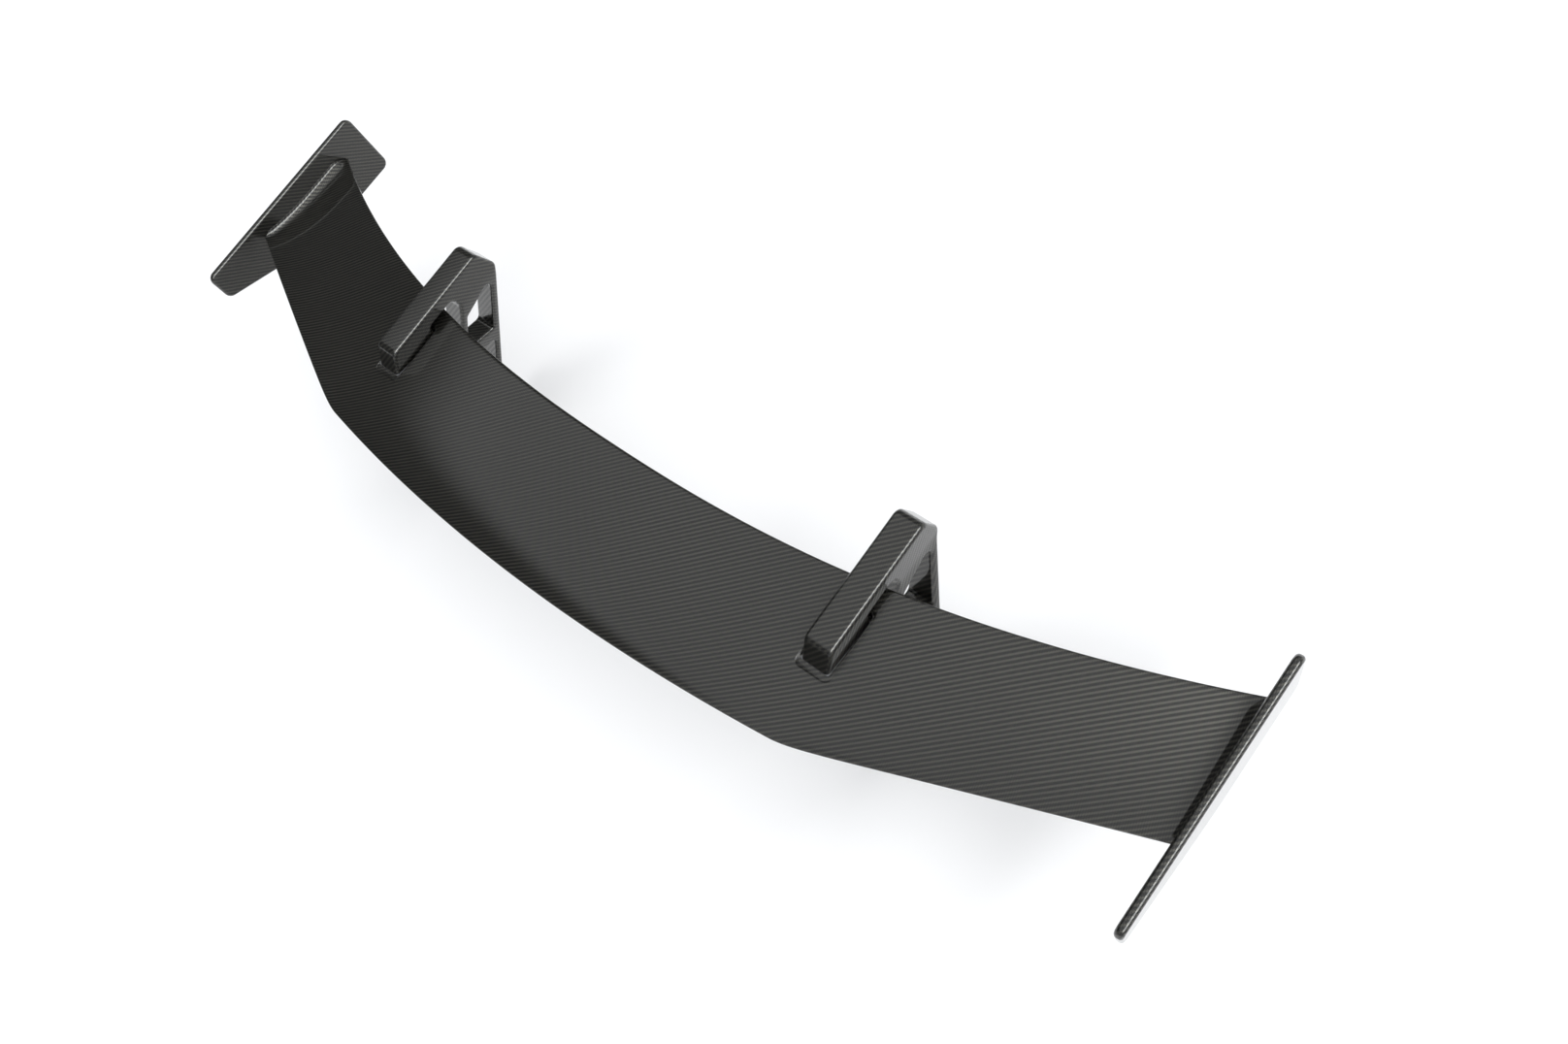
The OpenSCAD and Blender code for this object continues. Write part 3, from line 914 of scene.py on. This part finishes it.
def locating_block(side):
    """Moulded block with rounded edges, a step and a stub."""
    low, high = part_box(side + "_locating_block")
    middle = (low + high) / 2
    bm = bmesh.new()
    for size, (forward, up) in BLOCK_BOXES:
        place = Matrix.Translation((middle.x, forward * MM, up * MM))
        scale = Matrix.Diagonal((size[0] * MM, size[1] * MM, size[2] * MM, 1))
        bmesh.ops.create_cube(bm, size=1, matrix=place @ scale)
    bmesh.ops.bevel(bm, geom=bm.edges[:], offset=BLOCK_ROUND * MM, segments=3, affect="EDGES")
    mesh = bpy.data.meshes.new(side + "_block")
    bm.to_mesh(mesh)
    bm.free()
    mesh.materials.append(BLOCK)
    piece = bpy.data.objects.new(side + "_block", mesh)
    bpy.context.scene.collection.objects.link(piece)
    soften(piece)
    return piece


# ---------------------------------------------------------------- build

top = upper_skin()
thicken(top, SKIN_T)
lay_weave(top)
finish_piece(top, "gloss_carbon", "blade_upper_skin")

bottom = lower_skin()
thicken(bottom, SKIN_T)
cut_bolt_seats(bottom)
lay_weave(bottom)
finish_piece(bottom, "gloss_carbon", "blade_lower_skin")

for side in SIDES:
    liner = pocket_liner(side)
    thicken(liner, LINER_T)
    lay_weave(liner)
    finish_piece(liner, "gloss_carbon", side + "_pocket_tray")
    plate = endplate(side)
    lay_weave(plate, -1)
    finish_piece(plate, "gloss_carbon", side + "_endplate")
    body = upright(side)
    lay_weave(body, SIDES[side])
    finish_piece(body, "gloss_carbon", side + "_upright")
    finish_piece(locating_block(side), "black_plastic", side + "_locating_block")

CAD_FINISH = {"spar": BARE, "tip_rib": BARE, "dowel": STEEL, "mount_block": ALLOY, "wing_bushes": ALLOY,
              "facing": FACING, "inserts": STEEL, "bolts": STEEL, "seal": SEAL}
for name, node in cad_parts.items():
    for word, material in CAD_FINISH.items():
        if word in name:
            node.data.materials.clear()
            node.data.materials.append(material)


# ---------------------------------------------------------------- studio

def floor():
    bpy.ops.mesh.primitive_plane_add(size=40, location=(0, 0, cad_box[0][2] - FLOOR_GAP * MM))
    plane = bpy.context.object
    plane.name = "studio_floor"
    plane.data.materials.append(studio_floor())


def soft_light(name, place, target, width, height, power):
    """A lamp that gives soft shadows. Glossy surfaces mirror the room instead of the lamp itself."""
    light = bpy.data.lights.new(name, "AREA")
    light.shape = "RECTANGLE"
    light.size = width
    light.size_y = height
    light.energy = power
    lamp = bpy.data.objects.new(name, light)
    lamp.visible_glossy = False
    lamp.location = place
    lamp.rotation_euler = (Vector(target) - Vector(place)).to_track_quat("-Z", "Y").to_euler()
    bpy.context.scene.collection.objects.link(lamp)


def studio_room():
    """A soft panel overhead and a bright soft box high on the right, in a pale room that is dark on the left.

    Glossy surfaces mirror the room. Matt surfaces get even light, so the floor is plain to the horizon.
    """
    world = bpy.data.worlds.new("studio")
    world.use_nodes = True
    tree = world.node_tree
    background = tree.nodes["Background"]

    def ranged(value, low, high, out_low, out_high):
        node = tree.nodes.new("ShaderNodeMapRange")
        node.interpolation_type = "SMOOTHSTEP"
        for key, number in {"From Min": low, "From Max": high, "To Min": out_low, "To Max": out_high}.items():
            node.inputs[key].default_value = number
        tree.links.new(value, node.inputs["Value"])
        return node.outputs[0]

    def blend(factor, first, level):
        node = tree.nodes.new("ShaderNodeMix")
        node.inputs[3].default_value = level
        tree.links.new(factor, node.inputs[0])
        tree.links.new(first, node.inputs[2])
        return node.outputs[0]

    def times(first, second):
        node = tree.nodes.new("ShaderNodeMath")
        node.operation = "MULTIPLY"
        tree.links.new(first, node.inputs[0])
        tree.links.new(second, node.inputs[1])
        return node.outputs[0]

    place = tree.nodes.new("ShaderNodeTexCoord")
    split = tree.nodes.new("ShaderNodeSeparateXYZ")
    tree.links.new(place.outputs["Generated"], split.inputs[0])
    wall = ranged(split.outputs["X"], *WALL_X, WALL_DARK, WALL_PALE)
    panel = ranged(split.outputs["Z"], PANEL_EDGE - PANEL_SOFT, PANEL_EDGE + PANEL_SOFT, 0, 1)
    strength = blend(panel, wall, PANEL_LIGHT)
    box = times(ranged(split.outputs["X"], *BOX_X, 0, 1), ranged(split.outputs["Z"], *BOX_Z, 0, 1))
    strength = blend(box, strength, BOX_LIGHT)
    ray = tree.nodes.new("ShaderNodeLightPath")
    strength = blend(ray.outputs["Is Diffuse Ray"], strength, AMBIENT)
    strength = blend(ray.outputs["Is Camera Ray"], strength, BACKDROP)
    tree.links.new(strength, background.inputs["Strength"])
    world.cycles.sampling_method = "NONE"
    background.inputs["Color"].default_value = (0.97, 0.985, 1.0, 1)
    bpy.context.scene.world = world


def studio():
    studio_room()
    soft_light("front", (0.5, 3.0, 1.6), (0, 0, 0.1), 1.8, 0.3, 30)
    soft_light("rear", (-1.9, -2.6, 2.0), (0, 0, 0.1), 1.8, 0.3, 30)
    soft_light("right", (2.3, 0.4, 2.3), (0, 0, 0.1), 1.6, 0.6, 25)
    bpy.context.scene.view_settings.view_transform = "Standard"


def camera():
    """Behind, to the right of and above the wing, with the roll and lens of the reference view."""
    lens = bpy.data.cameras.new("camera")
    lens.sensor_width = 36
    lens.lens = CAMERA_LENS
    lens.clip_end = 100
    view = bpy.data.objects.new("camera", lens)
    right = Vector(CAMERA_RIGHT).normalized()
    ahead = Vector(CAMERA_AHEAD)
    ahead = (ahead - right * ahead.dot(right)).normalized()
    up = right.cross(ahead)
    axes = Matrix((right, up, -ahead)).transposed().to_4x4()
    view.matrix_world = Matrix.Translation(CAMERA_PLACE) @ axes
    bpy.context.scene.collection.objects.link(view)
    bpy.context.scene.camera = view


floor()
studio()
camera()
